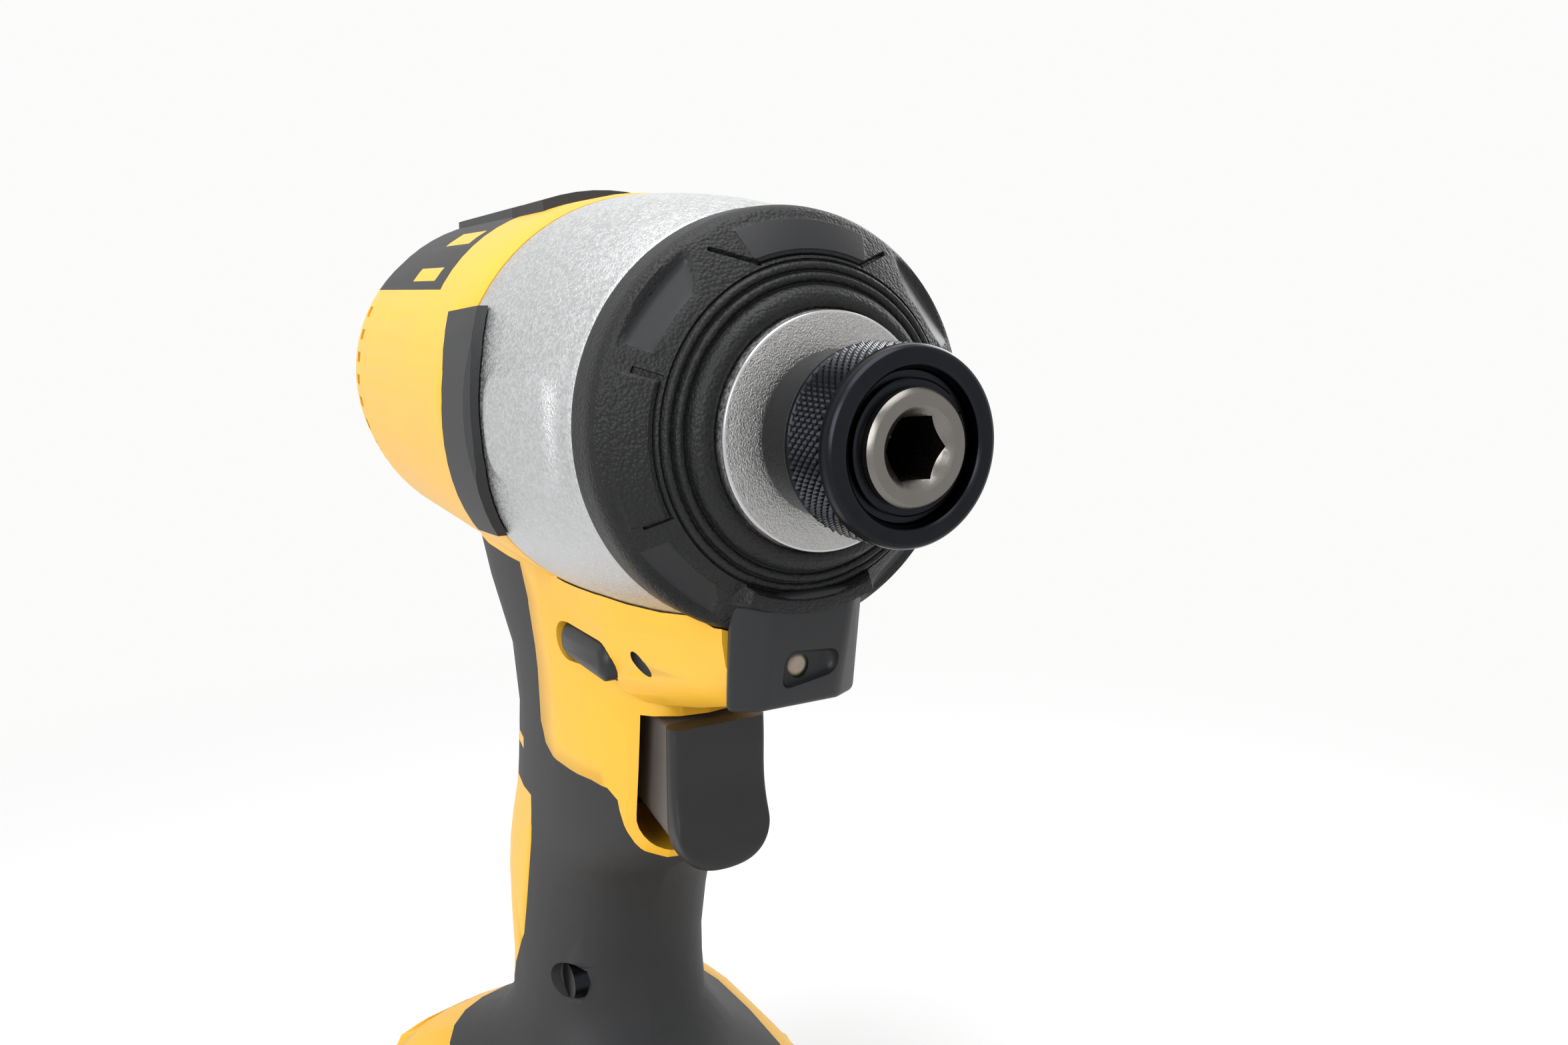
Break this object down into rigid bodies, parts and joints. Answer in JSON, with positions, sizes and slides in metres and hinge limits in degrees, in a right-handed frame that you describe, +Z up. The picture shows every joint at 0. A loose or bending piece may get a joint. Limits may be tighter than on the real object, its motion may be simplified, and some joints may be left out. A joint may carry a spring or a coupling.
{
  "type": "cordless impact driver",
  "caption": "Pistol-grip cordless impact driver with knurled quick-release collar, hex bit socket, rubber nose bumper, trigger and slide-on battery pack.",
  "frame": {"origin": "centre of the bounding box at the base of the battery pack, on which the tool stands", "axes": "+X towards the bit socket along the spindle, +Z up, -Y the right-hand side with the screw heads"},
  "size_m": [0.141, 0.074, 0.2106],
  "materials": {
    "yellow_plastic": "satin moulded plastic",
    "soft_grip": "matt soft overmould",
    "bumper_rubber": "fine pebble rubber",
    "black_plastic": "satin black plastic",
    "cast_alloy": "bead-blasted casting",
    "black_steel": "black oxide",
    "nickel_steel": "ground and plated steel",
    "plain_steel": "ground steel",
    "dark_steel": "dark hardened steel",
    "bronze": "sintered bronze",
    "brass": "plain brass",
    "copper": "enamelled copper wire",
    "board": "circuit board",
    "lens": "clear lens",
    "cell_wrap": "shrink wrap"
  },
  "bodies": {
    "frame": {"housing_right": "yellow_plastic", "housing_left": "yellow_plastic", "grip_right": "soft_grip", "grip_left": "soft_grip", "housing_screws": "black_steel", "gear_case": "cast_alloy", "nose_bumper": "bumper_rubber", "led_foot": "black_plastic", "led_lens": "lens", "led_board": "board", "anvil_bush": "bronze", "anvil_washer": "plain_steel", "ring_gear": "dark_steel", "gear_plate": "black_plastic", "spindle_bearing": "plain_steel", "stator_core": "dark_steel", "stator_windings": "copper", "sensor_board": "board", "front_bearing": "plain_steel", "rear_bearing": "plain_steel", "trigger_switch": "black_plastic", "controller": "board", "terminal_block": "black_plastic", "terminal_blades": "brass", "hook_inserts": "brass"},
    "anvil_body": {"anvil": "nickel_steel", "snap_ring": "black_steel", "collar_washer": "black_steel", "detent_balls": "plain_steel", "collar_spring": "plain_steel"},
    "collar_body": {"collar": "black_steel"},
    "spindle_body": {"spindle": "plain_steel", "cam_balls": "plain_steel", "planet_pins": "plain_steel", "hammer_spring": "dark_steel"},
    "hammer_seat": {"spring_washer": "plain_steel", "thrust_balls": "plain_steel"},
    "hammer_body": {"hammer": "dark_steel"},
    "planet_1": {"planet_gear_1": "plain_steel"},
    "planet_2": {"planet_gear_2": "plain_steel"},
    "planet_3": {"planet_gear_3": "plain_steel"},
    "rotor_body": {"rotor_shaft": "plain_steel", "rotor_core": "dark_steel", "pinion": "plain_steel", "fan": "black_plastic"},
    "trigger_body": {"trigger": "black_plastic"},
    "direction_body": {"direction_button": "black_plastic"},
    "battery_body": {"battery_top_case": "black_plastic", "battery_bottom_case": "black_plastic", "battery_cells": "cell_wrap", "battery_contacts": "brass", "battery_screws": "black_steel", "latch_spring": "plain_steel"},
    "latch_body": {"battery_latch": "black_plastic"}
  },
  "joints": [
    {"name": "spindle_spin", "type": "hinge", "parent": "frame", "child": "spindle_body", "pos_m": [0.0205, 0, 0.1804], "axis": [1, 0, 0], "continuous": true},
    {"name": "anvil_spin", "type": "hinge", "parent": "frame", "child": "anvil_body", "pos_m": [0.0505, 0, 0.1804], "axis": [1, 0, 0], "continuous": true},
    {"name": "rotor_spin", "type": "hinge", "parent": "frame", "child": "rotor_body", "pos_m": [-0.0355, 0, 0.1804], "axis": [1, 0, 0], "continuous": true},
    {"name": "planet_1_spin", "type": "hinge", "parent": "spindle_body", "child": "planet_1", "pos_m": [-0.0023, 0, 0.19165], "axis": [1, 0, 0], "continuous": true},
    {"name": "planet_2_spin", "type": "hinge", "parent": "spindle_body", "child": "planet_2", "pos_m": [-0.0023, -0.00974, 0.17478], "axis": [1, 0, 0], "continuous": true},
    {"name": "planet_3_spin", "type": "hinge", "parent": "spindle_body", "child": "planet_3", "pos_m": [-0.0023, 0.00974, 0.17478], "axis": [1, 0, 0], "continuous": true},
    {"name": "hammer_retract", "type": "slide", "parent": "spindle_body", "child": "hammer_seat", "axis": [-1, 0, 0], "range_m": [0, 0.008], "stiffness_N_per_m": 6000, "deforming": ["hammer_spring"]},
    {"name": "hammer_cam_turn", "type": "hinge", "parent": "hammer_seat", "child": "hammer_body", "pos_m": [0.0255, 0, 0.1804], "axis": [1, 0, 0], "range_deg": [0, 45.1]},
    {"name": "collar_slide", "type": "slide", "parent": "anvil_body", "child": "collar_body", "axis": [1, 0, 0], "range_m": [0, 0.004], "stiffness_N_per_m": 2500, "deforming": ["collar_spring"]},
    {"name": "trigger_pull", "type": "slide", "parent": "frame", "child": "trigger_body", "axis": [-1, 0, 0], "range_m": [0, 0.007], "stiffness_N_per_m": 1200},
    {"name": "direction_shift", "type": "slide", "parent": "frame", "child": "direction_body", "axis": [0, 1, 0], "range_m": [-0.003, 0.003]},
    {"name": "battery_slide", "type": "slide", "parent": "frame", "child": "battery_body", "axis": [1, 0, 0], "range_m": [0, 0.076]},
    {"name": "latch_press", "type": "slide", "parent": "battery_body", "child": "latch_body", "axis": [0, 0, -1], "range_m": [0, 0.004], "stiffness_N_per_m": 1500, "deforming": ["latch_spring"]}
  ],
  "couplings": [
    {"joint": "anvil_spin", "follows": "spindle_spin", "ratio": 1},
    {"joint": "rotor_spin", "follows": "spindle_spin", "ratio": 6},
    {"joint": "planet_1_spin", "follows": "spindle_spin", "ratio": -2.5},
    {"joint": "planet_2_spin", "follows": "spindle_spin", "ratio": -2.5},
    {"joint": "planet_3_spin", "follows": "spindle_spin", "ratio": -2.5},
    {"joint": "hammer_cam_turn", "follows": "hammer_retract", "rad_per_m": 98.175}
  ]
}
